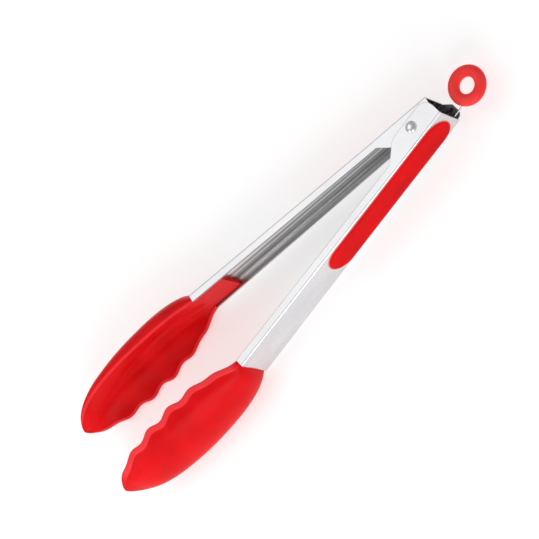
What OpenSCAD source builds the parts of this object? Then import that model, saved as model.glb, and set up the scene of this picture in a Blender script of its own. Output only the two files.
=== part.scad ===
// Spring loaded kitchen tongs, lying on one side, held open by their spring.
// Two stainless channel arms turn on one rivet. Each arm carries a rubber grip outside and a
// silicone head below. A ring pulls a lock slider that holds the arms closed.
// Frame: Z runs along the rivet, Y up the tongs towards the ring, X across them from arm to arm.
// The origin is the centre of the hole in the pull ring, where the tongs hang.

/* [Arms] */
// Distance from the rivet down to the lower end of the steel
arm_drop = 176; // [150:1:240]
// Distance from the rivet up to the top end of the outer arm
arm_rise = 18; // [17:0.5:20]
// Distance from the rivet axis to the outside face of each web
web_offset = 10; // [9.5:0.5:13]
// Thickness of the steel sheet
sheet_t = 1; // [0.8:0.1:1.2]
// Width across the outer arm at the rivet
arm_top_w = 25.5; // [24:0.5:32]
// Width across both arms at their lower ends
arm_end_w = 29.5; // [27:0.5:36]
// Depth of the side flanges below the ears
flange_depth = 5.5; // [4:0.5:7]
// How far the ears reach past the rivet, away from the web
ear_reach = 5; // [4:0.5:6]
// Gap on each side between the ears of the inner arm and those of the outer arm
ear_gap = 0.25; // [0.15:0.05:0.5]
// Angle between the two arms when the spring holds them open
open_angle = 13; // [12:0.5:14]

/* [Pivot] */
// Diameter of the rivet shaft
rivet_d = 5; // [4:0.5:6]
// Diameter of the domed rivet heads
rivet_head_d = 7.6; // [7:0.2:9]
// Height of the domed rivet heads
rivet_head_h = 1.6; // [1.2:0.1:2]
// Radial running clearance of the inner arm and of the slider slot on the rivet
pivot_clearance = 0.05; // [0.02:0.01:0.1]

/* [Spring] */
// Diameter of the spring wire
spring_wire_d = 1.2; // [1:0.1:1.4]
// Diameter of the coil, measured at the middle of the wire
coil_d = 9; // [8.5:0.5:10]
// Distance from the rivet down to the tips of the spring legs
spring_leg = 26; // [20:1:32]
// Whole turns of the coil
coil_turns = 6; // [4:1:6]

/* [Lock] */
// Thickness of the stamped lock slider
slider_t = 1; // [0.8:0.1:1.2]
// How far the ring pulls the slider out
lock_travel = 6; // [5:0.5:6.5]
// Width of the slider finger that holds the catch
finger_w = 1.4; // [1.2:0.1:1.6]
// Diameter of the pull wire
pull_wire_d = 1; // [0.8:0.1:1.4]

/* [Ring] */
// Outside diameter of the pull ring
ring_d = 25.2; // [24:0.2:28]
// Diameter of the hole that the tongs hang by
ring_hole_d = 10; // [9:0.2:12]
// Thickness of the ring along its hole
ring_t = 6.4; // [5.6:0.2:6.8]
// Distance from the rivet to the middle of the ring, up the outer arm
ring_rise = 37.4; // [36.4:0.5:40.4]

/* [Grips] */
// Distance from the rivet down to the lower end of each grip
grip_drop = 98; // [70:1:140]
// Distance from the rivet up to the upper end of each grip
grip_rise = 14.8; // [10:0.2:15]
// Steel left bare on each side of the outer grip, at the rivet
outer_grip_margin = 0.9; // [0.8:0.1:3]
// Steel left bare on each side of the inner grip, at the rivet
inner_grip_margin = 1.8; // [0.8:0.1:3]
// How far the grips stand proud of the webs
grip_t = 0.8; // [0.6:0.1:2.2]

/* [Heads] */
// Length of each head below the steel
head_len = 115; // [95:1:130]
// Greatest width of each head
head_w = 40.4; // [36:0.2:46]
// Height of the scallops on the gripping edge
scallop_h = 1.4; // [0.6:0.1:1.8]
// Distance from one scallop to the next
scallop_pitch = 19.2; // [15:0.2:24]
// Thickness of the head at its edges
rim_t = 3; // [2.4:0.1:3.4]
// Length of the tang inside the arm
tang_len = 22; // [16:1:30]
// Thickness of the tang
tang_t = 2.9; // [2:0.1:3.2]

/* [Hidden] */
$fn = 96;

steel = [0.86, 0.86, 0.88];
dark_steel = [0.55, 0.56, 0.58];
red = [0.86, 0.08, 0.1];
deep_red = [0.72, 0.05, 0.07];

// The widths follow from the sheet: the inner arm nests inside the ears of the outer arm.
outer_half = arm_top_w / 2;
inner_half = outer_half - sheet_t - ear_gap;
end_half = arm_end_w / 2;
// Below this height the arms widen towards their lower ends.
ear_end_y = -30;
web_inside = web_offset - sheet_t;
flange_edge = web_offset - flange_depth;
// How much lower the inner arm stands at its top.
inner_step = 1.5;
inner_top = arm_rise - inner_step;
rivet_r = rivet_d / 2;

// Ear outline: a round upper corner, a straight free edge, and a long round into the flange.
ear_corner_r = 7;
ear_sweep_r = 12;
ear_sweep_y = -9;
ear_sweep_angle = 38;

// The far ear of the inner arm is taller and meets the web of the outer arm when fully open.
lobe_r = 3.6;
lobe_y = 19.2;
lobe_start = 78;
lobe_root = 4;
stop_gap = 0.2;
lobe_center = [(lobe_y * sin(open_angle) + lobe_r + stop_gap - web_inside) / cos(open_angle), lobe_y];
lobe_peak = [5, 21.6];

// Lock: the slider lies against the far ear of the inner arm, with its back along the outer web.
slider_gap = 0.6;
slider_z = -(inner_half - sheet_t - slider_gap);
slider_web_gap = 0.2;
slider_edge = web_inside - slider_web_gap;
slider_top = 7;
slider_drop = 6;
slider_side = -4.2;
slider_back_t = 1;
slider_back_w = 5.4;
slot_gap = 2 * pivot_clearance;
strip_w = 3.4;
strip_top = 16;
finger_top = 17.8;
catch_t = 0.9;
catch_x = 1.6;
catch_y = [18.3, 20.7];
catch_depth = 2.1;

wire_r = pull_wire_d / 2;
wire_fit = 0.04;
wire_inset = 1.2;
wire_drop = 2;
wire_lift = 0.1;
hook_reach = 0.3;
// The bend is a little fatter than the wire.
bend_swell = 1.05;
wire_foot = [slider_edge - wire_inset, strip_top - wire_drop, slider_z + slider_t + wire_r + wire_lift];
ring_offset = 3.2;
ring_z = -5;
// Where the wire ends inside the ring, measured from the middle of the ring.
wire_in_ring = [5.4, -7.1, -0.6];
wire_head = [ring_offset, ring_rise, ring_z] + wire_in_ring;
ring_land = 2;

coil_r = coil_d / 2;
// The turns of the coil stand apart by a small share of the wire.
coil_spread = 1.08;
coil_pitch = spring_wire_d * coil_spread;
coil_half = coil_pitch * (coil_turns + 0.5) / 2;
leg_gap = 0.15;
leg_x = web_inside - spring_wire_d / 2 - leg_gap;

outer_grip_half = outer_half - outer_grip_margin;
inner_grip_half = inner_half - inner_grip_margin;

// The heads start flush with the lower ends of the arms.
head_top = -arm_drop;

// A head is lofted through these cross-sections, from the arm to the tip. Each row gives the
// distance below the arm as a share of the length, the half width as a share of the greatest,
// and the distances from the rivet plane of the back, the scalloped edge, the plain edge and
// the middle of the gripping face.
head_rows = [
    [0.00, 0.765, 11.0, 4.5, 4.5, 6.0],
    [0.05, 0.830, 15.4, 3.2, 4.5, 6.6],
    [0.14, 0.920, 16.8, -1.4, 4.6, 7.8],
    [0.26, 0.978, 16.2, -5.8, 4.4, 8.4],
    [0.40, 1.000, 14.2, -9.0, 3.8, 7.4],
    [0.53, 0.985, 11.8, -10.8, 3.0, 5.8],
    [0.65, 0.930, 8.6, -12.2, 2.0, 3.4],
    [0.76, 0.835, 5.2, -13.2, 0.6, 0.6],
    [0.86, 0.680, 1.0, -13.2, -1.8, -3.0],
    [0.94, 0.450, -4.4, -12.0, -4.8, -7.6],
    [1.00, 0.080, -8.0, -9.6, -8.0, -8.8]
];
row_last = len(head_rows) - 1;
row_steps = 4;
section_steps = 18;
// The scallops start at this share of the length, and one valley lies this far below the arm.
scallop_start = 0.08;
scallop_valley = 32;
// How closely the scallops keep to the edge, on the back and on the gripping face.
back_focus = 12;
face_focus = 8;
// How the gripping face curves up to its plain edge and to its scalloped edge.
plain_curve = 1.25;
deep_curve = 2.2;
least_wall = 1;
rim_share = 0.3;

// The nylon core: a flat tang in the arm and a blade inside the silicone.
tang_fit = 0.05;
tang_side_gap = 0.9;
blade_half = 5;
blade_inset = 1;
// Thickness of the blade at its root, its middle and its tip, and its rise at the last two.
blade_t = [2.4, 3.2, 1.8];
blade_rise = [3.8, 2.4];
blade_mid = 0.24 * head_len;
blade_len = 0.45 * head_len;

// Height of the hanging hole above the rivet, turned with the outer arm.
half_open = open_angle / 2;
hang_point = [ring_offset * cos(half_open) - ring_rise * sin(half_open),
              ring_offset * sin(half_open) + ring_rise * cos(half_open),
              ring_z];

// Places children drawn along the outer arm: X towards its web, Y up the arm.
module on_outer() translate(-hang_point) rotate([0, 0, half_open]) children();

// The inner arm is the mirror image of the outer one.
module on_inner() translate(-hang_point) rotate([0, 0, -half_open]) mirror([1, 0, 0]) children();

// The inner head is the same part as the outer one, turned half round.
module on_inner_turned() translate(-hang_point) rotate([0, 0, -half_open]) rotate([0, 180, 0]) children();

function arc(center, r, from, to, steps = 10) =
    [for (i = [0:steps]) let (a = from + (to - from) * i / steps) center + r * [cos(a), sin(a)]];

// Extrudes an outline drawn as [height, width] through the arm, from the rivet side outwards.
module face_on(from_x, depth) translate([from_x, 0, 0]) rotate([90, 0, 90]) linear_extrude(depth) children();

// Side view of an arm with its ear, from the web's outside face to the free edge.
module side_outline(top) {
    sweep_center = [ear_sweep_r - ear_reach, ear_sweep_y];
    sweep_end = sweep_center - ear_sweep_r * [cos(ear_sweep_angle), sin(ear_sweep_angle)];
    run = flange_edge - sweep_end.x;
    polygon(concat(
        [[web_offset, top]],
        arc([ear_corner_r - ear_reach, top - ear_corner_r], ear_corner_r, 90, 180),
        arc(sweep_center, ear_sweep_r, 180, 180 + ear_sweep_angle),
        [[flange_edge, sweep_end.y - run / tan(ear_sweep_angle)],
         [flange_edge, head_top],
         [web_offset, head_top]]));
}

// Front view of an arm: straight past the ears, then widening to its lower end.
module front_outline(top, half_top, inset) {
    h = half_top - inset;
    e = end_half - inset;
    polygon([[top + 20, h], [ear_end_y, h], [head_top - 1, e], [head_top - 1, -e], [ear_end_y, -h], [top + 20, -h]]);
}

module channel(top, half_top) {
    difference() {
        intersection() {
            translate([0, 0, -end_half]) linear_extrude(2 * end_half) side_outline(top);
            face_on(-2 * web_offset, 3 * web_offset) front_outline(top, half_top, 0);
        }
        face_on(-2 * web_offset, 2 * web_offset + web_inside) front_outline(top, half_top, sheet_t);
    }
}

module rivet_hole(r) cylinder(r = r, h = 2 * arm_top_w, center = true);

module outer_arm() {
    color(steel) on_outer() difference() {
        channel(arm_rise, outer_half);
        rivet_hole(rivet_r);
    }
}

// The taller ear that stops the arms when they spring open.
module stop_lobe() {
    translate([0, 0, -inner_half]) linear_extrude(sheet_t) polygon(concat(
        [[web_inside, inner_top - lobe_root], [web_inside, inner_top], lobe_peak],
        arc(lobe_center, lobe_r, lobe_start, 180),
        [[-ear_reach, inner_top - ear_corner_r]]));
}

// The catch is bent in from the tall ear. It is drawn where it stands with the arms open.
module catch() {
    translate([catch_x - catch_t / 2, catch_y[0], -inner_half + sheet_t / 2])
        cube([catch_t, catch_y[1] - catch_y[0], sheet_t / 2 + catch_depth]);
}

module inner_arm() {
    color(steel) {
        difference() {
            union() {
                on_inner() channel(inner_top, inner_half);
                on_inner() stop_lobe();
                on_outer() catch();
            }
            on_inner() rivet_hole(rivet_r + pivot_clearance);
        }
    }
}

module rivet_dome() {
    dome_r = (pow(rivet_head_d / 2, 2) + pow(rivet_head_h, 2)) / (2 * rivet_head_h);
    intersection() {
        translate([0, 0, rivet_head_h - dome_r]) sphere(r = dome_r);
        cylinder(r = rivet_head_d, h = 2 * rivet_head_h);
    }
}

module pivot_rivet() {
    color(steel) on_outer() {
        cylinder(r = rivet_r, h = 2 * outer_half, center = true);
        translate([0, 0, outer_half]) rivet_dome();
        mirror([0, 0, 1]) translate([0, 0, outer_half]) rivet_dome();
    }
}

// Route of the spring wire, from the tip on the inner arm round the coil to the tip on the outer.
function turned(p, a) = [p.x * cos(a) - p.y * sin(a), p.x * sin(a) + p.y * cos(a)];
coil_sides = 8;
coil_points = 18;
coil_route = let (
        turn = 360 * (coil_turns + 0.5),
        steps = ceil(coil_points * turn / 360),
        inner_tip = turned([-leg_x, -spring_leg], -half_open),
        outer_tip = turned([leg_x, -spring_leg], half_open)
    ) concat(
        [[inner_tip.x, inner_tip.y, -coil_half]],
        [for (i = [0:steps]) let (a = 180 - turn * i / steps)
            [coil_r * cos(a), coil_r * sin(a), -coil_half + 2 * coil_half * i / steps]],
        [[outer_tip.x, outer_tip.y, coil_half]]);

function unit(v) = v / norm(v);

// Rings of points square to a route, joined into one closed tube.
module swept_wire(route, r, sides) {
    last = len(route) - 1;
    rings = [for (i = [0:last]) let (
            ahead = unit(route[min(i + 1, last)] - route[max(i - 1, 0)]),
            side = unit(cross([0, 0, 1], ahead)),
            up = cross(ahead, side))
        for (k = [0:sides - 1]) let (a = 360 * k / sides)
            route[i] + r * (cos(a) * side + sin(a) * up)];
    walls = [for (i = [0:last - 1], k = [0:sides - 1]) let (n = (k + 1) % sides)
        [i * sides + k, (i + 1) * sides + k, (i + 1) * sides + n, i * sides + n]];
    polyhedron(rings, concat(walls,
        [[for (k = [0:sides - 1]) k]],
        [[for (k = [sides - 1:-1:0]) last * sides + k]]), convexity = 8);
}

module torsion_spring() {
    color(dark_steel) translate(-hang_point) swept_wire(coil_route, spring_wire_d / 2, coil_sides);
}

// The slider: a plate slotted over the rivet, a back along the web, a strip for the wire and a
// finger that stands beside the catch when the ring is pulled.
module slider_outline() {
    slot_r = rivet_r + slot_gap;
    difference() {
        union() {
            translate([slider_side, -lock_travel - slider_drop])
                square([slider_edge - slider_side, slider_top + lock_travel + slider_drop]);
            translate([slider_edge - strip_w, 0]) square([strip_w, strip_top]);
            translate([-finger_w / 2, 0]) square([finger_w, finger_top]);
        }
        circle(r = slot_r);
        translate([0, -lock_travel]) circle(r = slot_r);
        translate([-slot_r, -lock_travel]) square([2 * slot_r, lock_travel]);
        translate([wire_foot.x, wire_foot.y]) circle(r = wire_r + wire_fit);
    }
}

module lock_slider() {
    color(dark_steel) on_outer() {
        translate([0, 0, slider_z]) linear_extrude(slider_t) slider_outline();
        translate([slider_edge - slider_back_t, -lock_travel - slider_drop, slider_z])
            cube([slider_back_t, slider_top + lock_travel + slider_drop, slider_back_w]);
    }
}

module rod_between(a, b, r) {
    along = b - a;
    tilt = acos(along.z / norm(along));
    translate(a) rotate([0, tilt, atan2(along.y, along.x)]) cylinder(r = r, h = norm(along));
}

// The wire hooks through the slider and runs up into the ring.
module pull_wire() {
    hook_tip = [wire_foot.x, wire_foot.y, slider_z - hook_reach];
    color(steel) on_outer() {
        rod_between(wire_foot, wire_head, wire_r);
        translate(wire_foot) sphere(r = bend_swell * wire_r);
        rod_between(hook_tip, wire_foot, wire_r);
    }
}

// A rounded ring whose hole keeps a short straight land.
module pull_ring() {
    hole_r = ring_hole_d / 2;
    band = ring_d / 2 - hole_r;
    color(red) on_outer() difference() {
        translate([ring_offset, ring_rise, ring_z]) rotate_extrude() {
            translate([hole_r, -ring_land / 2]) square([band / 2, ring_land]);
            intersection() {
                translate([hole_r + band / 2, 0]) scale([band / ring_t, 1]) circle(d = ring_t);
                translate([hole_r, -ring_t]) square([band, 2 * ring_t]);
            }
        }
        rod_between(wire_foot, wire_head, wire_r + wire_fit);
    }
}

module grip_pad(half) {
    face_on(web_offset, grip_t) {
        translate([-grip_drop + half, 0]) circle(r = half);
        translate([grip_rise - half, 0]) circle(r = half);
        translate([-grip_drop + half, -half]) square([grip_rise + grip_drop - 2 * half, 2 * half]);
    }
}

module outer_grip() color(red) on_outer() grip_pad(outer_grip_half);

module inner_grip() color(red) on_inner() grip_pad(inner_grip_half);

// Smooth curve through the rows: one row at position s, counted in rows.
function blend(p0, p1, p2, p3, t) =
    0.5 * (2 * p1 + (p2 - p0) * t + (2 * p0 - 5 * p1 + 4 * p2 - p3) * t * t
        + (3 * p1 - p0 - 3 * p2 + p3) * t * t * t);
function row_at(s) = let (i = min(floor(s), row_last - 1))
    blend(head_rows[max(i - 1, 0)], head_rows[i], head_rows[i + 1], head_rows[min(i + 2, row_last)], s - i);

function mix(a, b, t) = a + (b - a) * t;

// Scallops run along one edge only. They fade in below the arm and out before the tip.
function scallop(down) =
    -scallop_h * sin(180 * min(1, max(0, down / head_len * (1 + scallop_start) - scallop_start)))
        * cos(360 * (down - scallop_valley) / scallop_pitch);

// One closed cross-section of a head: round the back, then across the gripping face.
function head_section(s) = let (
        row = row_at(s),
        y = head_top - row[0] * head_len,
        half = row[1] * head_w / 2,
        back = row[2],
        deep = row[3],
        wave = scallop(row[0] * head_len),
        plain = row[4],
        face = min(row[5], back - least_wall),
        rim = min(rim_t, rim_share * half),
        span = half - rim,
        bulge = back - (deep + plain) / 2)
    concat(
        [for (i = [0:section_steps]) let (a = 180 * i / section_steps)
            [mix(deep, plain, (1 - cos(a)) / 2) + bulge * sin(a) + wave * pow(max(0, cos(a)), back_focus),
             y, half * cos(a)]],
        [for (i = [0:section_steps]) let (w = -cos(180 * i / section_steps))
            [w < 0 ? mix(face, plain, pow(-w, plain_curve))
                : mix(face, deep, pow(w, deep_curve)) + wave * pow(w, face_focus),
             y, span * w]]);

module head_body() {
    count = row_last * row_steps;
    sides = 2 * section_steps + 2;
    points = [for (i = [0:count]) each head_section(i / row_steps)];
    walls = [for (i = [0:count - 1], k = [0:sides - 1]) let (n = (k + 1) % sides)
        [i * sides + k, i * sides + n, (i + 1) * sides + n, (i + 1) * sides + k]];
    end = count * sides;
    caps = [for (k = [0:section_steps - 1]) let (back = k, front = sides - 1 - k) each [
        [front, front - 1, back + 1, back],
        [end + back, end + back + 1, end + front - 1, end + front]]];
    polyhedron(points, concat(walls, caps), convexity = 6);
}

// Side view of the blade inside the head, following the back of the head.
module blade(reach) {
    root = web_inside - tang_t + blade_inset;
    mid = head_top - blade_mid;
    tip = head_top - blade_len;
    translate([0, 0, -blade_half]) linear_extrude(2 * blade_half) polygon([
        [root, head_top + reach], [root, head_top], [root + blade_rise[0], mid], [root + blade_rise[1], tip],
        [root + blade_rise[1] + blade_t[2], tip], [root + blade_rise[0] + blade_t[1], mid],
        [root + blade_t[0], head_top], [root + blade_t[0], head_top + reach]]);
}

module head_core() {
    tang_half = end_half - sheet_t - tang_side_gap;
    translate([web_inside - tang_fit - tang_t, head_top, -tang_half]) cube([tang_t, tang_len, 2 * tang_half]);
    blade(0);
}

module head_skin() {
    difference() {
        head_body();
        blade(1);
    }
}

module outer_head_core() color(deep_red) on_outer() head_core();

module inner_head_core() color(deep_red) on_inner_turned() head_core();

module outer_head_skin() color(red) on_outer() head_skin();

module inner_head_skin() color(red) on_inner_turned() head_skin();

outer_arm();
inner_arm();
pivot_rivet();
torsion_spring();
lock_slider();
pull_wire();
pull_ring();
outer_grip();
inner_grip();
outer_head_core();
inner_head_core();
outer_head_skin();
inner_head_skin();
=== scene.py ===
"""Looks for the kitchen tongs: silicone heads, sheet steel arms, rubber grips, ring and spring."""
import math

import bpy
import numpy as np
from mathutils import Matrix, Vector


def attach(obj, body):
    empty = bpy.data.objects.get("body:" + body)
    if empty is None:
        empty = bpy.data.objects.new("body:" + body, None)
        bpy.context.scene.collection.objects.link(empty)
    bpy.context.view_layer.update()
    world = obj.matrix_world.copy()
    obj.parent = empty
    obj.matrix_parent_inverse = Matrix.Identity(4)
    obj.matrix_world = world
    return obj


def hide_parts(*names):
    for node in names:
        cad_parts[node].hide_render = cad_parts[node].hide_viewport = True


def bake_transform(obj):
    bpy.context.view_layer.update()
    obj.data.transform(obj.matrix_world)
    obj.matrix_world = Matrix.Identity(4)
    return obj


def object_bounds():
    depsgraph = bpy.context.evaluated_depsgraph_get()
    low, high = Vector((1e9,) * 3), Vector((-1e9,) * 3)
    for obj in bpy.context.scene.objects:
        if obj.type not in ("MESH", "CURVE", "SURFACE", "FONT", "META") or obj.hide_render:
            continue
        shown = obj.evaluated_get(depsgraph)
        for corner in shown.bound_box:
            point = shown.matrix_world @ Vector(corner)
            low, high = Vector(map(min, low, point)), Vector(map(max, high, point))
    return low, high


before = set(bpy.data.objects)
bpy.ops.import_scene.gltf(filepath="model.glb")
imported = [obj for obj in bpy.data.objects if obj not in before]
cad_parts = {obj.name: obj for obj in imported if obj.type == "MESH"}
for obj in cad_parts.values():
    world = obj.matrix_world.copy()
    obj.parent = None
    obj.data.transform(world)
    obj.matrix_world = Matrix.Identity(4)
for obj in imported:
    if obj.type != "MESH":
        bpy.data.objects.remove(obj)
cad_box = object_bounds()

MM = 0.001

# Sizes repeated from the CAD source, in millimetres.
HALF_OPEN = math.radians(6.5)
RING_OFFSET = 3.2
RING_RISE = 37.4
RING_Z = -5.0
WEB = 10.0
SHEET = 1.0
ARM_DROP = 176.0
OUTER_TOP = 18.0
INNER_TOP = 16.5
OUTER_HALF = 12.75
INNER_HALF = 11.5
END_HALF = 14.75
WIDEN_START = -30.0
EAR_REACH = 5.0
EAR_CORNER = 7.0
SWEEP_R = 12.0
SWEEP_Y = -9.0
SWEEP_ANGLE = math.radians(38)
FLANGE_EDGE = 4.5
RIVET_R = 2.5
RIVET_HEAD_R = 3.8
RIVET_HEAD_H = 1.6
HEAD_LEN = 115.0
HEAD_HALF = 20.2
SCALLOP = 1.4
SCALLOP_PITCH = 19.2
SCALLOP_START = 0.08
SCALLOP_VALLEY = 32
BACK_FOCUS = 12
FACE_FOCUS = 8
PLAIN_CURVE = 1.25
DEEP_CURVE = 2.2
LEAST_WALL = 1
RIM_SHARE = 0.3
RIM = 3.0
OUTER_GRIP_MARGIN = 0.9
INNER_GRIP_MARGIN = 1.8
GRIP_TOP = 14.8
GRIP_END = -98.0
GRIP_T = 0.8
COIL_R = 4.5
COIL_TURNS = 6.5
COIL_HALF = 1.2 * 1.08 * COIL_TURNS / 2
SPRING_R = 0.6
SPRING_LEG = 26.0
LEG_GAP = 0.15
LOBE_R = 3.6
LOBE_CENTER = (-0.904, 19.2)
LOBE_PEAK = (5, 21.6)
LOBE_ROOT = 4
LOBE_START = 78
CATCH_X = (1.15, 2.05)
CATCH_Y = (18.3, 20.7)
CATCH_DEPTH = 2.1
RING_R = 12.6
RING_HOLE_R = 5.0
RING_HALF_LAND = 1.0
RING_HALF_T = 3.2
WIRE_R = 0.5
WIRE_FOOT = (7.6, 14.0, -8.3)
WIRE_HEAD = (8.6, RING_RISE - 7.1, -5.6)

HANG = np.array([
    RING_OFFSET * math.cos(HALF_OPEN) - RING_RISE * math.sin(HALF_OPEN),
    RING_OFFSET * math.sin(HALF_OPEN) + RING_RISE * math.cos(HALF_OPEN),
    RING_Z,
])


# ---------------------------------------------------------------- places

def about_z(points, angle):
    """Points turned about the rivet."""
    c, s = math.cos(angle), math.sin(angle)
    return points @ np.array([[c, s, 0], [-s, c, 0], [0, 0, 1]])


def on_rivet(points):
    """Rivet frame in millimetres to the row frame in metres."""
    return (points - HANG) * MM


def on_outer(points):
    return on_rivet(about_z(points, HALF_OPEN))


def on_inner(points):
    """The mirror image of the outer side."""
    return on_rivet(about_z(points * [-1, 1, 1], -HALF_OPEN))


def on_inner_turned(points):
    """The outer side's part, turned half round about its own length."""
    return on_rivet(about_z(points * [-1, 1, -1], -HALF_OPEN))


# ---------------------------------------------------------------- mesh helpers

def make_piece(name, points, faces, place, body, stands_for, sharp=40, marks=None):
    """A mesh piece from points in millimetres, placed and tied to its CAD body and node."""
    placed = place(np.asarray(points, float))
    if place is on_inner:
        faces = [face[::-1] for face in faces]
    mesh = bpy.data.meshes.new(name)
    mesh.from_pydata(placed.tolist(), [], faces)
    for label, values in (marks or {}).items():
        store = mesh.attributes.new(label, "FLOAT_VECTOR", "POINT")
        store.data.foreach_set("vector", np.asarray(values, np.float32).ravel())
    mesh.validate()
    mesh.shade_smooth()
    mesh.set_sharp_from_angle(angle=math.radians(sharp))
    piece = bpy.data.objects.new(name, mesh)
    bpy.context.scene.collection.objects.link(piece)
    if body:
        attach(piece, body)
    if stands_for:
        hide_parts(stands_for)
    return piece


def soften_edges(piece, width, angle=40):
    bevel = piece.modifiers.new("soft_edges", "BEVEL")
    bevel.width = width * MM
    bevel.segments = 2
    bevel.limit_method = "ANGLE"
    bevel.angle_limit = math.radians(angle)
    bevel.harden_normals = False


def wall_faces(rings, sides, closed=True):
    """Quads between rings of points that follow one another."""
    span = sides if closed else sides - 1
    faces = []
    for i in range(rings - 1):
        for k in range(span):
            n = (k + 1) % sides
            faces.append([i * sides + k, i * sides + n, (i + 1) * sides + n, (i + 1) * sides + k])
    return faces


def strip_cap(first, sides, flip):
    """A flat end filled with strips between the two halves of its outline."""
    faces = []
    for k in range(sides // 2 - 1):
        quad = [first + k, first + k + 1, first + sides - 2 - k, first + sides - 1 - k]
        faces.append(quad if flip else quad[::-1])
    return faces


def loft(sections):
    """A closed solid through sections that share one count of points."""
    rings = len(sections)
    sides = len(sections[0])
    points = np.concatenate(sections)
    faces = wall_faces(rings, sides)
    faces += strip_cap(0, sides, False)
    faces += strip_cap((rings - 1) * sides, sides, True)
    return points, faces


# The first and last rings of a wire are this share of its width, which rounds its ends.
WIRE_END_SHARE = 0.55
NEARLY_PARALLEL = 0.1


def tube(path, radius, sides=14):
    """A round wire along a path, with domed ends."""
    path = np.asarray(path, float)
    ahead = np.gradient(path, axis=0)
    ahead /= np.linalg.norm(ahead, axis=1)[:, None]
    side = np.cross([0, 0, 1], ahead[0])
    if np.linalg.norm(side) < NEARLY_PARALLEL:
        side = np.array([1.0, 0.0, 0.0])
    rings = []
    scale = np.ones(len(path))
    scale[[0, -1]] = WIRE_END_SHARE
    for i, point in enumerate(path):
        side = side - ahead[i] * side.dot(ahead[i])
        side /= np.linalg.norm(side)
        up = np.cross(ahead[i], side)
        turn = np.linspace(0, 2 * math.pi, sides, endpoint=False)[:, None]
        rings.append(point + scale[i] * radius * (np.cos(turn) * side + np.sin(turn) * up))
    return loft(rings)


def revolve(profile, center, steps=96):
    """A profile of (radius, height) turned about a line along Z, open where it meets that line."""
    turn = np.linspace(0, 2 * math.pi, steps, endpoint=False)
    rings = [np.stack([center[0] + r * np.cos(turn), center[1] + r * np.sin(turn),
                       np.full(steps, center[2] + z)], 1) for r, z in profile]
    return np.concatenate(rings), wall_faces(len(profile), steps)


def smooth_step(value, low, high):
    share = np.clip((value - low) / (high - low), 0, 1)
    return share * share * (3 - 2 * share)


# ---------------------------------------------------------------- materials

# Noise seldom leaves this span, so the span is stretched over the wanted range.
NOISE_SPAN = (0.3, 0.7)
# Features per metre of each pattern, across and along the arm for the sheet.
SHEET_LINES = (9000, 60, 1)
SHEET_CLOUDS = (60, 25, 1)
SHEET_STREAKS = (330, 1.5, 1)
HANDLING_MARKS = (300, 300, 300)
POLISH_LINES = (3000, 3000, 3000)
RUBBER_CLOUDS = (45, 45, 45)
RUBBER_SKIN = (2600, 2600, 2600)
FLOOR_CLOUDS = (3, 3, 3)

OUTSIDE_DARK = (0.66, 0.655, 0.67)
OUTSIDE_LIGHT = (0.72, 0.715, 0.73)
# Painted dark reflection inside the channel, broken into streaks.
CHANNEL_REFLECTION_DARK = (0.16, 0.16, 0.165)
CHANNEL_REFLECTION_LIGHT = (1.0, 1.0, 1.0)
# Painted shade: a dark line along the free edges of the sheet, for the shadow in the gap beside them.
EDGE_SHADE_TONE = (0.22, 0.22, 0.23)
SHEET_ROUGHNESS = (0.24, 0.36)

# How far each colour of light spreads inside the silicone, in metres, and the share of that used.
SCATTER = (0.004, 0.0008, 0.0006)
SCATTER_SCALE = 0.5


def new_material(name):
    material = bpy.data.materials.new(name)
    material.use_nodes = True
    nodes = material.node_tree.nodes
    return material, nodes, material.node_tree.links, nodes["Principled BSDF"]


def add_noise(nodes, links, source, scale, detail=3.0):
    """Noise over stretched coordinates; scale is features per metre along each axis."""
    stretch = nodes.new("ShaderNodeMapping")
    stretch.inputs["Scale"].default_value = scale
    links.new(source, stretch.inputs["Vector"])
    noise = nodes.new("ShaderNodeTexNoise")
    noise.inputs["Scale"].default_value = 1.0
    noise.inputs["Detail"].default_value = detail
    links.new(stretch.outputs["Vector"], noise.inputs["Vector"])
    return noise.outputs["Fac"]


def add_range(nodes, links, value, low, high):
    spread = nodes.new("ShaderNodeMapRange")
    spread.inputs["From Min"].default_value = NOISE_SPAN[0]
    spread.inputs["From Max"].default_value = NOISE_SPAN[1]
    spread.inputs["To Min"].default_value = low
    spread.inputs["To Max"].default_value = high
    links.new(value, spread.inputs["Value"])
    return spread.outputs["Result"]


def add_mix(nodes, links, share, first, second):
    """Colour mix; first is a colour or a socket."""
    mix = nodes.new("ShaderNodeMix")
    mix.data_type = "RGBA"
    links.new(share, mix.inputs["Factor"])
    if isinstance(first, tuple):
        mix.inputs["A"].default_value = (*first, 1)
    else:
        links.new(first, mix.inputs["A"])
    mix.inputs["B"].default_value = (*second, 1)
    return mix.outputs["Result"]


def add_bump(nodes, links, shader, height, strength, distance_mm):
    bump = nodes.new("ShaderNodeBump")
    bump.inputs["Strength"].default_value = strength
    bump.inputs["Distance"].default_value = distance_mm * MM
    links.new(height, bump.inputs["Height"])
    links.new(bump.outputs["Normal"], shader.inputs["Normal"])


def mark_value(nodes, links, label, axis="X"):
    mark = nodes.new("ShaderNodeAttribute")
    mark.attribute_name = label
    parts = nodes.new("ShaderNodeSeparateXYZ")
    links.new(mark.outputs["Vector"], parts.inputs["Vector"])
    return parts.outputs[axis]


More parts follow.
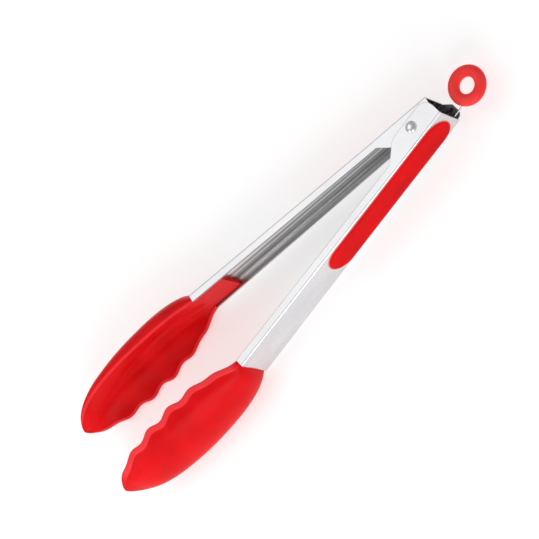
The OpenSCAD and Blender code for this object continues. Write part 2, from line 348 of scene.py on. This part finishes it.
def arm_steel():
    """Satin rolled sheet: fine lines along the arm, streaks of painted dark reflection inside the channel,
    and a painted shade line along the free edges.
    """
    material, nodes, links, shader = new_material("satin_sheet_steel")
    grain = nodes.new("ShaderNodeAttribute")
    grain.attribute_name = "grain"
    inside = mark_value(nodes, links, "inside")
    fine = add_noise(nodes, links, grain.outputs["Vector"], SHEET_LINES)
    cloudy = add_noise(nodes, links, grain.outputs["Vector"], SHEET_CLOUDS, 2.0)
    streaks = add_noise(nodes, links, grain.outputs["Vector"], SHEET_STREAKS, 2.0)
    outside_tone = add_mix(nodes, links, add_range(nodes, links, cloudy, 0, 1), OUTSIDE_DARK, OUTSIDE_LIGHT)
    channel_reflection_tone = add_mix(nodes, links, add_range(nodes, links, streaks, 0, 1), CHANNEL_REFLECTION_DARK, CHANNEL_REFLECTION_LIGHT)
    tone = nodes.new("ShaderNodeMix")
    tone.data_type = "RGBA"
    links.new(inside, tone.inputs["Factor"])
    links.new(outside_tone, tone.inputs["A"])
    links.new(channel_reflection_tone, tone.inputs["B"])
    # Painted shade line along the free edges of the sheet.
    shade_lined_tone = add_mix(nodes, links, mark_value(nodes, links, "cut"), tone.outputs["Result"], EDGE_SHADE_TONE)
    links.new(shade_lined_tone, shader.inputs["Base Color"])
    links.new(add_range(nodes, links, fine, *SHEET_ROUGHNESS), shader.inputs["Roughness"])
    shader.inputs["Metallic"].default_value = 1.0
    add_bump(nodes, links, shader, fine, strength=0.12, distance_mm=0.02)
    return material


def plain_steel(name, low, high, roughness):
    """Polished or drawn steel with fine handling marks."""
    material, nodes, links, shader = new_material(name)
    place = nodes.new("ShaderNodeTexCoord").outputs["Object"]
    cloud = add_noise(nodes, links, place, HANDLING_MARKS)
    fine = add_noise(nodes, links, place, POLISH_LINES, 2.0)
    tone = add_mix(nodes, links, add_range(nodes, links, cloud, 0, 1), low, high)
    links.new(tone, shader.inputs["Base Color"])
    links.new(add_range(nodes, links, cloud, roughness * 0.8, roughness * 1.25), shader.inputs["Roughness"])
    shader.inputs["Metallic"].default_value = 1.0
    add_bump(nodes, links, shader, fine, strength=0.08, distance_mm=0.02)
    return material


def red_rubber(name, deep, light, edge=None, roughness=0.42, subsurface=0.0, shine=0.1):
    """Moulded silicone or rubber: faint clouds of tone, a satin skin, and paler marked edges, which on the
    heads are a painted highlight.
    """
    material, nodes, links, shader = new_material(name)
    place = nodes.new("ShaderNodeTexCoord").outputs["Object"]
    cloud = add_noise(nodes, links, place, RUBBER_CLOUDS, 2.0)
    skin = add_noise(nodes, links, place, RUBBER_SKIN, 2.0)
    tone = add_mix(nodes, links, add_range(nodes, links, cloud, 0, 1), deep, light)
    if edge:
        tone = add_mix(nodes, links, mark_value(nodes, links, "edge"), tone, edge)
    links.new(tone, shader.inputs["Base Color"])
    links.new(add_range(nodes, links, cloud, roughness * 0.9, roughness * 1.15), shader.inputs["Roughness"])
    shader.inputs["Specular IOR Level"].default_value = shine
    shader.inputs["Subsurface Weight"].default_value = subsurface
    shader.inputs["Subsurface Radius"].default_value = SCATTER
    shader.inputs["Subsurface Scale"].default_value = SCATTER_SCALE
    add_bump(nodes, links, shader, skin, strength=0.1, distance_mm=0.03)
    return material


def paint(piece, material):
    piece.data.materials.clear()
    piece.data.materials.append(material)


# ---------------------------------------------------------------- heads

# Each row: share of the length, half width share, back, scalloped edge, plain edge, gripping face.
HEAD_ROWS = np.array([
    [0.00, 0.765, 11.0, 4.5, 4.5, 6.0],
    [0.05, 0.830, 15.4, 3.2, 4.5, 6.6],
    [0.14, 0.920, 16.8, -1.4, 4.6, 7.8],
    [0.26, 0.978, 16.2, -5.8, 4.4, 8.4],
    [0.40, 1.000, 14.2, -9.0, 3.8, 7.4],
    [0.53, 0.985, 11.8, -10.8, 3.0, 5.8],
    [0.65, 0.930, 8.6, -12.2, 2.0, 3.4],
    [0.76, 0.835, 5.2, -13.2, 0.6, 0.6],
    [0.86, 0.680, 1.0, -13.2, -1.8, -3.0],
    [0.94, 0.450, -4.4, -12.0, -4.8, -7.6],
    [1.00, 0.080, -8.0, -9.6, -8.0, -8.8],
])
TIP_ROUND = 1.8
MOUTH_ROUND = 0.5
STATIONS = 150
RIBBON = 3.6
LEDGE = 0.6
# Kept below the CAD surface, so that the looks stay inside the CAD box.
SKIN = 0.02
BACK_INSET = 0.15
BACK_STEPS = 72
RIM_STEPS = 6
# Shares of the length over which the ribbon and the tongue come in and go out.
RIBBON_START = (0.0, 0.06)
RIBBON_END = (0.88, 0.97)
TONGUE_START = (0.0, 0.04)
TONGUE_END = (0.35, 0.72)
# Where the tongue and its crease lie across the gripping face, from -1 to 1.
TONGUE_RISE = (-0.06, 0.03)
TONGUE_FALL = (0.12, 0.62)
TONGUE_HEIGHT = 1.3
CREASE_AT = -0.07
CREASE_WIDTH = 0.05
CREASE_DEPTH = 0.7
LEDGE_BLUR = 0.5
LEDGE_FADE = 7
LEDGE_TILT = 0.3
RIBBON_BLUR = 0.6
BACK_BUNCHING = 1.5
# Share of the painted highlight taken by the plain rim.
PLAIN_RIM_HIGHLIGHT = 0.6
# These keep the end rings of a head from closing to a point.
TIP_LEAST = 0.03
MOUTH_SHARE = 0.965


def head_row(s):
    """A row of HEAD_ROWS at a fractional place, on a smooth curve through the rows."""
    last = len(HEAD_ROWS) - 1
    i = min(int(s), last - 1)
    t = s - i
    p0 = HEAD_ROWS[max(i - 1, 0)]
    p1 = HEAD_ROWS[i]
    p2 = HEAD_ROWS[i + 1]
    p3 = HEAD_ROWS[min(i + 2, last)]
    return 0.5 * (2 * p1 + (p2 - p0) * t + (2 * p0 - 5 * p1 + 4 * p2 - p3) * t * t
                  + (3 * p1 - p0 - 3 * p2 + p3) * t ** 3)


def scallop(down):
    along = down / HEAD_LEN * (1 + SCALLOP_START) - SCALLOP_START
    fade = math.sin(math.pi * min(1.0, max(0.0, along)))
    return -SCALLOP * fade * math.cos(2 * math.pi * (down - SCALLOP_VALLEY) / SCALLOP_PITCH)


def rim_curve(x, z, radius, outward):
    """Half a circle round an edge, from its outside to its inside."""
    turn = np.linspace(0, math.pi, RIM_STEPS + 2)[1:-1]
    return np.stack([x - radius * np.sin(turn), z + outward * radius * np.cos(turn)], 1)


def back_curve(half, back, deep, plain, wave, shown):
    """The back as (x, z) points, and how far each lies from the scalloped edge.

    It is cut more finely near that edge, where a step sets off a raised ribbon.
    """
    turn = math.pi * np.linspace(0, 1, BACK_STEPS + 1) ** BACK_BUNCHING
    near_edge = np.maximum(0, np.cos(turn)) ** BACK_FOCUS
    bulge = back - BACK_INSET - (deep + plain) / 2
    x = deep + (plain - deep) * (1 - np.cos(turn)) / 2 + bulge * np.sin(turn) + wave * near_edge
    z = half * np.cos(turn)
    run = np.hypot(x - deep - wave, z - half)
    step = LEDGE * shown * smooth_step(run, RIBBON - LEDGE_BLUR, RIBBON) * (turn < math.pi / 2)
    step = step * (1 - smooth_step(run, RIBBON + LEDGE_BLUR, RIBBON + LEDGE_FADE))
    x = x - step * np.sin(turn + LEDGE_TILT)
    z = z - step * np.cos(turn + LEDGE_TILT)
    return np.stack([x, z], 1), run


def front_curve(share, span, face, deep, plain, wave):
    """The gripping face as (x, z) points, with a tongue and a crease below the arm."""
    w = np.linspace(-1, 1, BACK_STEPS + 1)
    w = 0.5 * w + 0.5 * np.sin(0.5 * math.pi * w)
    low = face + (plain - face) * np.abs(w) ** PLAIN_CURVE
    high = face + (deep - face) * np.abs(w) ** DEEP_CURVE + wave * w ** FACE_FOCUS
    fade = (1 - smooth_step(share, *TONGUE_END)) * smooth_step(share, *TONGUE_START)
    tongue = smooth_step(w, *TONGUE_RISE) * (1 - smooth_step(w, *TONGUE_FALL))
    crease = np.exp(-((w - CREASE_AT) / CREASE_WIDTH) ** 2)
    x = np.where(w < 0, low, high) + fade * (CREASE_DEPTH * crease - TONGUE_HEIGHT * tongue)
    return np.stack([x, span * w], 1)


def head_section(s):
    """One cross-section as (x, z) points, with how near each point is to an edge."""
    share, width, back, deep, plain, face = head_row(s)
    down = share * HEAD_LEN
    half = width * (HEAD_HALF - SKIN)
    wave = scallop(down)
    face = min(face, back - LEAST_WALL)
    radius = min(RIM, RIM_SHARE * half) / 2
    deep += radius
    plain += radius
    shown = float(smooth_step(share, *RIBBON_START) * (1 - smooth_step(share, *RIBBON_END)))
    outer, edge_run = back_curve(half, back, deep, plain, wave, shown)
    near_rim = rim_curve(plain, -(half - radius), radius, -1)
    front = front_curve(share, half - 2 * radius, face, deep, plain, wave)
    far_rim = rim_curve(deep + wave, half - radius, radius, 1)[::-1]
    points = np.concatenate([outer, near_rim, front, far_rim])
    # The ribbon and the rims of a head take a painted highlight.
    ribbon = (1 - smooth_step(edge_run, RIBBON - RIBBON_BLUR, RIBBON)) * shown
    plain_rim = np.full(RIM_STEPS, PLAIN_RIM_HIGHLIGHT)
    edge = np.concatenate([ribbon, plain_rim, np.zeros(len(front)), np.ones(RIM_STEPS)])
    return down, points, edge


def head_mesh():
    last = len(HEAD_ROWS) - 1
    sections = []
    edges = []
    for i in range(STATIONS + 1):
        down, points, edge = head_section(last * i / STATIONS)
        middle = points.mean(0)
        left = HEAD_LEN - down
        grow = 1.0
        if left < TIP_ROUND:
            grow = math.sqrt(max(TIP_LEAST, 1 - (1 - left / TIP_ROUND) ** 2))
        if down < MOUTH_ROUND:
            grow = MOUTH_SHARE + (1 - MOUTH_SHARE) * math.sqrt(1 - (1 - down / MOUTH_ROUND) ** 2)
        points = middle + grow * (points - middle)
        height = np.full(len(points), -ARM_DROP - down)
        sections.append(np.stack([points[:, 0], height, points[:, 1]], 1))
        edges.append(edge)
    # The outline is rolled round so that its two halves face each other at the ends.
    roll = RIM_STEPS // 2
    sections = [np.roll(section, roll, 0) for section in sections]
    edges = [np.roll(edge, roll) for edge in edges]
    points, faces = loft(sections)
    edge = np.concatenate(edges)
    return points, faces, {"edge": np.stack([edge, edge, edge], 1)}


def build_heads(material):
    points, faces, marks = head_mesh()
    for side, place in (("outer", on_outer), ("inner", on_inner_turned)):
        head = make_piece(f"{side}_silicone_head", points, faces, place, f"{side}_side",
                          f"{side}_head_skin", 60, marks)
        paint(head, material)


# ---------------------------------------------------------------- arms

BEND_R = 1.4
EDGE_R = 0.22
# Share of the painted dark reflection taken as painted shade by the free edges and the top end of an arm.
EDGE_SHADE_SHARE = 0.7
# Points of the skin at the free edge that take the painted shade line.
EDGE_SHADE_POINTS = 3
# The rounded free edge leans back by this share, and a short run leads into each bend.
LIP_SHARE = 0.3
BEND_LEAD = 0.12
CORNER_CUTS = 14
SWEEP_CUTS = 12
FLANGE_CUTS = 40
KINK_GAP = 0.4


def ear_edge(y, top):
    """How far the side of an arm reaches at a height: the ear, its sweep, then the flange."""
    if y > top - EAR_CORNER:
        drop = y - (top - EAR_CORNER)
        return EAR_CORNER - EAR_REACH - math.sqrt(max(0.0, EAR_CORNER ** 2 - drop ** 2))
    if y > SWEEP_Y:
        return -EAR_REACH
    sweep_end = SWEEP_Y - SWEEP_R * math.sin(SWEEP_ANGLE)
    if y > sweep_end:
        return SWEEP_R - EAR_REACH - math.sqrt(SWEEP_R ** 2 - (y - SWEEP_Y) ** 2)
    reach = SWEEP_R - EAR_REACH - SWEEP_R * math.cos(SWEEP_ANGLE)
    return min(FLANGE_EDGE, reach + (sweep_end - y) * math.tan(SWEEP_ANGLE))


def arm_half(y, half):
    widened = (WIDEN_START - y) / (ARM_DROP + 1 + WIDEN_START)
    return half + (END_HALF - half) * max(0.0, widened)


def arm_heights(top):
    """Heights to cut the arm at: close together round the ear, wide apart down the arm."""
    corner = [top - EAR_CORNER * (1 - math.sin(a)) for a in np.linspace(math.pi / 2, 0, CORNER_CUTS)]
    sweep = [SWEEP_Y - SWEEP_R * math.sin(a) for a in np.linspace(0, SWEEP_ANGLE, SWEEP_CUTS)]
    run = FLANGE_EDGE + EAR_REACH - SWEEP_R + SWEEP_R * math.cos(SWEEP_ANGLE)
    kink = sweep[-1] - run / math.tan(SWEEP_ANGLE)
    flange = [kink, kink - KINK_GAP] + list(np.linspace(WIDEN_START, -ARM_DROP, FLANGE_CUTS))
    return corner + sweep + flange


def half_skin(edge, half, offset, bend):
    """One side of the sheet from its free edge to the middle of the web, as (x, z)."""
    web = WEB - offset
    side = half - offset
    turn = np.linspace(math.pi / 2, 0, 7)
    bend_points = [[web - bend + bend * math.cos(a), side - bend + bend * math.sin(a)] for a in turn]
    lip = EDGE_R if offset == 0 else -EDGE_R
    start = [[edge, side - lip], [edge + EDGE_R * LIP_SHARE, side - lip * LIP_SHARE], [edge + EDGE_R, side],
             [edge + EDGE_R + BEND_LEAD, side], [web - bend - BEND_LEAD, side]]
    return np.array(start + bend_points + [[web, side - bend - BEND_LEAD]])


def channel_mesh(top, half):
    sections = []
    grain = []
    inside = []
    cut = []
    for y in arm_heights(top):
        width = arm_half(y, half)
        edge = ear_edge(y, top)
        outer = half_skin(edge, width, 0, BEND_R)
        inner = half_skin(edge, width, SHEET, BEND_R - SHEET)
        outer = np.concatenate([outer, outer[::-1] * [1, -1]])
        inner = np.concatenate([inner, inner[::-1] * [1, -1]])
        loop = np.concatenate([outer, inner[::-1]])
        sections.append(np.stack([loop[:, 0], np.full(len(loop), y), loop[:, 1]], 1))
        across = np.concatenate([outer.sum(1), inner[::-1].sum(1) + 50])
        # The inside of the channel takes the painted dark reflection; the free edges and the top end take
        # part of it as painted shade.
        hidden = np.concatenate([np.zeros(len(outer)), np.ones(len(inner))])
        hidden[[0, 1, len(outer) - 2, len(outer) - 1]] = EDGE_SHADE_SHARE
        if y == top:
            hidden[:] = EDGE_SHADE_SHARE
        grain.append(np.stack([across, np.full(len(loop), y), 0 * across], 1) * MM)
        inside.append(np.stack([hidden, hidden, hidden], 1))
        # A painted shade line along the free edges.
        edge_shade_line = np.zeros(len(loop))
        edge_shade_line[:EDGE_SHADE_POINTS] = 1
        edge_shade_line[len(outer) - EDGE_SHADE_POINTS:len(outer)] = 1
        cut.append(np.stack([edge_shade_line, edge_shade_line, edge_shade_line], 1))
    points, faces = loft(sections)
    faces = [face[::-1] for face in faces]
    marks = {"grain": np.concatenate(grain), "inside": np.concatenate(inside), "cut": np.concatenate(cut)}
    return points, faces, marks


def plate_mesh(outline, low, high):
    """A flat outline in (x, y) given thickness along Z."""
    count = len(outline)
    outline = np.asarray(outline, float)
    points = np.concatenate([np.column_stack([outline, np.full(count, z)]) for z in (low, high)])
    faces = [[k, (k + 1) % count, count + (k + 1) % count, count + k] for k in range(count)]
    faces.append(list(range(count))[::-1])
    faces.append(list(range(count, 2 * count)))
    return points, faces


def build_arms(material):
    for side, place, top, half in (("outer", on_outer, OUTER_TOP, OUTER_HALF),
                                   ("inner", on_inner, INNER_TOP, INNER_HALF)):
        points, faces, marks = channel_mesh(top, half)
        arm = make_piece(f"{side}_channel_arm", points, faces, place, f"{side}_side",
                         f"{side}_arm", 35, marks)
        paint(arm, material)


# Keeps the lobe just inside the faces of the arm it joins.
LOBE_SKIN = 0.03
LOBE_EDGE_INSET = 0.05


def build_stop_lobe(material):
    """The taller far ear of the inner arm, with the catch bent in from it."""
    web_inside = WEB - SHEET
    turn = np.radians(np.linspace(LOBE_START, 180, 20))
    lobe = [[web_inside, INNER_TOP - LOBE_ROOT], [web_inside, INNER_TOP], list(LOBE_PEAK)]
    lobe += [[LOBE_CENTER[0] + LOBE_R * math.cos(a), LOBE_CENTER[1] + LOBE_R * math.sin(a)] for a in turn]
    lobe += [[LOBE_EDGE_INSET - EAR_REACH, INNER_TOP - EAR_CORNER]]
    points, faces = plate_mesh(lobe, -INNER_HALF + LOBE_SKIN, -INNER_HALF + SHEET - LOBE_SKIN)
    piece = make_piece("inner_arm_stop_lobe", points, faces, on_inner, "inner_side",
                       "inner_arm", 35)
    soften_edges(piece, 0.18)
    paint(piece, material)
    left, right = CATCH_X
    low, high = CATCH_Y
    catch = [[left, low], [right, low], [right, high], [left, high]]
    points, faces = plate_mesh(catch, -INNER_HALF + SHEET / 2, -INNER_HALF + SHEET + CATCH_DEPTH)
    piece = make_piece("inner_arm_catch", points, faces, on_outer, "inner_side",
                       "inner_arm", 35)
    soften_edges(piece, 0.15)
    paint(piece, material)


# ---------------------------------------------------------------- small parts

# The rolled edge of a rivet head, as (radius, height) from its rim on the ear.
ROLLED_EDGE = [(0, 0.3), (-0.05, 0.12), (-0.2, 0.02)]


def build_rivet(material):
    """A shaft with two domes that roll over the ears."""
    dome_r = (RIVET_HEAD_R ** 2 + RIVET_HEAD_H ** 2) / (2 * RIVET_HEAD_H)
    reach = math.asin(RIVET_HEAD_R / dome_r)
    dome = [[dome_r * math.sin(a), OUTER_HALF + RIVET_HEAD_H - dome_r + dome_r * math.cos(a)]
            for a in np.linspace(0.01, reach, 14)]
    rolled = [[RIVET_HEAD_R + r, OUTER_HALF + z] for r, z in ROLLED_EDGE]
    shaft = [[RIVET_R, OUTER_HALF]]
    half = dome[:-1] + rolled + shaft
    profile = [[r, -z] for r, z in half] + half[::-1]
    points, faces = revolve(profile, (0, 0, 0))
    piece = make_piece("domed_rivet", points, faces, on_outer, "outer_side", "pivot_rivet", 60)
    paint(piece, material)


RING_INSET = 0.1
PARTING_RISE = 0.08
PARTING_WIDTH = 0.05


def build_ring(material):
    """A moulded ring with a short land in its hole and a faint parting line round its rim."""
    band = RING_R - RING_HOLE_R
    middle = RING_HOLE_R + band / 2
    start = math.asin(RING_HALF_LAND / RING_HALF_T)
    profile = []
    for a in np.linspace(math.pi - start, -math.pi + start, 61):
        parting = PARTING_RISE * math.exp(-(a / PARTING_WIDTH) ** 2)
        r = max(RING_HOLE_R, middle + (band / 2 - RING_INSET + parting) * math.cos(a))
        profile.append([r, RING_HALF_T * math.sin(a)])
    profile.append(profile[0])
    points, faces = revolve(profile, (RING_OFFSET, RING_RISE, RING_Z), 128)
    piece = make_piece("moulded_pull_ring", points, faces, on_outer, "lock", "pull_ring", 60)
    paint(piece, material)


# The hook runs back from the foot through the slider.
HOOK_LEN = 1.9
HOOK_STEPS = (0, 0.7, 1.4)


def build_pull_wire(material):
    foot = np.array(WIRE_FOOT)
    head = np.array(WIRE_HEAD)
    path = [foot + [0, 0, step - HOOK_LEN] for step in HOOK_STEPS]
    path += [foot + [0, 0.1, -0.25], foot + [0.03, 0.45, 0.05]]
    path += [foot + (head - foot) * t for t in (0.08, 0.3, 0.6, 0.9, 1.0)]
    points, faces = tube(path, WIRE_R)
    piece = make_piece("bent_pull_wire", points, faces, on_outer, "lock", "pull_wire", 60)
    paint(piece, material)


COIL_POINTS = 240


def build_spring(material):
    """The coil winds between the two arms, so it turns smoothly from one to the other."""
    total = 2 * math.pi * COIL_TURNS
    leg_x = WEB - SHEET - SPRING_R - LEG_GAP
    tips = about_z(np.array([[leg_x, -SPRING_LEG, COIL_HALF]]), HALF_OPEN)[0]
    inner_tip = tips * [-1, 1, -1]
    start = np.array([-COIL_R, 0, -COIL_HALF])
    path = [inner_tip + (start - inner_tip) * t for t in (0, 0.02, 0.3, 0.6, 0.85)]
    for share in np.linspace(0, 1, COIL_POINTS):
        a = math.pi - total * share
        path.append(np.array([COIL_R * math.cos(a), COIL_R * math.sin(a), COIL_HALF * (2 * share - 1)]))
    end = path[-1]
    path += [end + (tips - end) * t for t in (0.15, 0.4, 0.7, 0.98, 1)]
    points, faces = tube(path, SPRING_R, 10)
    piece = make_piece("coiled_torsion_spring", points, faces, on_rivet, None,
                       "torsion_spring", 60)
    paint(piece, material)
    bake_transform(piece)


def grip_outline(half, inset):
    """The long rounded outline of a grip, drawn in by inset, as (y, z) pairs."""
    radius = half - inset
    upper = [[GRIP_TOP - half + radius * math.sin(a), radius * math.cos(a)]
             for a in np.linspace(0, math.pi, 33)]
    lower = [[GRIP_END + half - radius * math.sin(a), -radius * math.cos(a)]
             for a in np.linspace(0, math.pi, 33)]
    side = np.linspace(GRIP_TOP - half, GRIP_END + half, 22)[1:-1]
    down = [[y, -radius] for y in side]
    up = [[y, radius] for y in side[::-1]]
    return np.array(upper + down + lower + up)


# Inset from the edge and share of the height: a thin skirt, then a soft shoulder and a crown.
GRIP_PROFILE = [(0.0, 0.0), (0.0, 0.2), (0.08, 0.28), (0.6, 0.3), (0.68, 0.34), (0.76, 0.6), (0.9, 0.76),
                (1.15, 0.86), (1.6, 0.91), (3.0, 0.95), (5.5, 0.98), (8.0, 1.0), (9.3, 1.0)]
SKIRT = 0.65


def grip_mesh(half):
    sections = []
    edge = []
    for inset, height in GRIP_PROFILE:
        outline = grip_outline(half, inset)
        sections.append(np.column_stack([np.full(len(outline), WEB + GRIP_T * height), outline]))
        edge.append(np.full((len(outline), 3), 0.8 if inset < SKIRT else 0.0))
    sections = [np.roll(section, -16, 0) for section in sections]
    points, faces = loft(sections)
    return points, faces, {"edge": np.concatenate(edge)}


def build_grips(material):
    halves = (("outer", on_outer, OUTER_HALF - OUTER_GRIP_MARGIN),
              ("inner", on_inner, INNER_HALF - INNER_GRIP_MARGIN))
    for side, place, half in halves:
        points, faces, marks = grip_mesh(half)
        piece = make_piece(f"{side}_grip_pad", points, faces, place, f"{side}_side",
                           f"{side}_grip", 50, marks)
        paint(piece, material)


# ---------------------------------------------------------------- floor, light and camera

FLOOR_SIZE = 3.0
FLOOR_GAP = 0.0005
FLOOR_DARK = (0.72, 0.72, 0.72)
FLOOR_LIGHT = (0.74, 0.74, 0.74)
FLOOR_GLOW = 0.45

WORLD_LIGHT = 0.46
LIGHT_TARGET = (0, -0.16, 0)
# Name, place, side and power of each square soft light.
SOFTBOXES = [
    ("top_light", (-0.6, -0.55, 1.3), 1.3, 4.8),
    ("side_light", (1.2, -0.5, 0.7), 0.8, 8),
    ("rim_light", (0.3, -1.3, 0.6), 0.7, 3),
]

CAMERA_AZIMUTH = math.radians(33.95)
CAMERA_TILT = math.radians(32.23)
CAMERA_ROLL = math.radians(43.54)
# Millimetres from the rivet: right, up and back.
CAMERA_PLACE = (-89.0, -81.7, 1569.2)
CAMERA_LENS = 178.3
CAMERA_SENSOR = 36.0


def build_floor():
    low = cad_box[0]
    size = FLOOR_SIZE
    mesh = bpy.data.meshes.new("studio_floor")
    z = low[2] - FLOOR_GAP
    corners = [(-size, -size, z), (size, -size, z), (size, size, z), (-size, size, z)]
    mesh.from_pydata(corners, [], [(0, 1, 2, 3)])
    floor = bpy.data.objects.new("studio_floor", mesh)
    bpy.context.scene.collection.objects.link(floor)
    material, nodes, links, shader = new_material("pale_floor")
    place = nodes.new("ShaderNodeTexCoord").outputs["Object"]
    cloud = add_noise(nodes, links, place, FLOOR_CLOUDS, 2.0)
    tone = add_mix(nodes, links, add_range(nodes, links, cloud, 0, 1), FLOOR_DARK, FLOOR_LIGHT)
    links.new(tone, shader.inputs["Base Color"])
    shader.inputs["Emission Color"].default_value = (1, 1, 1, 1)
    shader.inputs["Emission Strength"].default_value = FLOOR_GLOW
    shader.inputs["Roughness"].default_value = 0.9
    shader.inputs["Specular IOR Level"].default_value = 0.0
    paint(floor, material)


def aim(thing, place, target):
    thing.location = place
    direction = Vector(target) - Vector(place)
    thing.rotation_euler = direction.to_track_quat("-Z", "Y").to_euler()


def add_softbox(name, place, side, power):
    lamp = bpy.data.lights.new(name, "AREA")
    lamp.shape = "RECTANGLE"
    lamp.size = side
    lamp.size_y = side
    lamp.energy = power
    light = bpy.data.objects.new(name, lamp)
    bpy.context.scene.collection.objects.link(light)
    aim(light, place, LIGHT_TARGET)


def build_lights():
    world = bpy.data.worlds.new("studio")
    world.use_nodes = True
    world.node_tree.nodes["Background"].inputs["Color"].default_value = (1, 1, 1, 1)
    world.node_tree.nodes["Background"].inputs["Strength"].default_value = WORLD_LIGHT
    bpy.context.scene.world = world
    for name, place, side, power in SOFTBOXES:
        add_softbox(name, place, side, power)


def build_camera():
    """Stands where the photograph was taken from, in the rivet frame: turned round Z, tipped, rolled.

    The Standard view keeps the photograph's saturated red and white ground.
    """
    across = math.sin(CAMERA_TILT)
    back = Vector((across * math.cos(CAMERA_AZIMUTH), across * math.sin(CAMERA_AZIMUTH),
                   math.cos(CAMERA_TILT)))
    right = Vector((0, 1, 0)).cross(back).normalized()
    up = back.cross(right)
    right_rolled = math.cos(CAMERA_ROLL) * right + math.sin(CAMERA_ROLL) * up
    up_rolled = -math.sin(CAMERA_ROLL) * right + math.cos(CAMERA_ROLL) * up
    place = right_rolled * CAMERA_PLACE[0] + up_rolled * CAMERA_PLACE[1] + back * CAMERA_PLACE[2]
    place = (place - Vector(HANG)) * MM
    turn = Matrix((right_rolled, up_rolled, back)).transposed().to_4x4()
    data = bpy.data.cameras.new("camera")
    data.sensor_width = CAMERA_SENSOR
    data.lens = CAMERA_LENS
    data.clip_end = 20
    camera = bpy.data.objects.new("camera", data)
    camera.matrix_world = Matrix.Translation(place) @ turn
    bpy.context.scene.view_settings.view_transform = "Standard"
    bpy.context.scene.collection.objects.link(camera)
    bpy.context.scene.camera = camera


# ---------------------------------------------------------------- the whole scene

CORE_DEEP = (0.70, 0.002, 0.004)
CORE_LIGHT = (0.78, 0.004, 0.008)
RED_DEEP = (0.64, 0.001, 0.003)
RED_LIGHT = (0.80, 0.003, 0.006)
# Painted highlight on the ribbons and rims of the heads.
RED_EDGE_HIGHLIGHT = (0.93, 0.045, 0.055)
RED_SKIRT = (0.95, 0.16, 0.16)
GRIP_DEEP = (0.58, 0.001, 0.003)
GRIP_LIGHT = (0.77, 0.002, 0.004)
RING_DEEP = (0.95, 0.04, 0.04)
RING_LIGHT = (1.0, 0.065, 0.06)

build_camera()
silicone = red_rubber("silicone", RED_DEEP, RED_LIGHT, RED_EDGE_HIGHLIGHT, 0.4, 0.12)
grip_rubber = red_rubber("grip_rubber", GRIP_DEEP, GRIP_LIGHT, RED_SKIRT, 0.45, shine=0.03)
ring_rubber = red_rubber("ring_rubber", RING_DEEP, RING_LIGHT, None, 0.38)
sheet_steel = arm_steel()
rivet_steel = plain_steel("polished_steel", (0.72, 0.72, 0.73), (0.8, 0.8, 0.81), 0.26)
wire_steel = plain_steel("drawn_wire", (0.5, 0.5, 0.52), (0.62, 0.62, 0.63), 0.3)
# The stop lobe and the catch are painted dark, as a painted dark reflection.
shaded_steel = plain_steel("shaded_stamping", (0.10, 0.10, 0.11), (0.14, 0.14, 0.15), 0.4)
dark_steel = plain_steel("spring_steel", (0.25, 0.25, 0.26), (0.4, 0.4, 0.41), 0.3)

build_heads(silicone)
build_arms(sheet_steel)
build_stop_lobe(shaded_steel)
build_rivet(rivet_steel)
build_ring(ring_rubber)
build_pull_wire(wire_steel)
build_spring(dark_steel)
build_grips(grip_rubber)

core_nylon = red_rubber("core_nylon", CORE_DEEP, CORE_LIGHT, None, 0.36)
for node_name in ("outer_head_core", "inner_head_core"):
    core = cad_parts[node_name]
    soften_edges(core, 0.35)
    paint(core, core_nylon)
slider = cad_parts["lock_slider"]
soften_edges(slider, 0.12)
paint(slider, dark_steel)

build_floor()
build_lights()
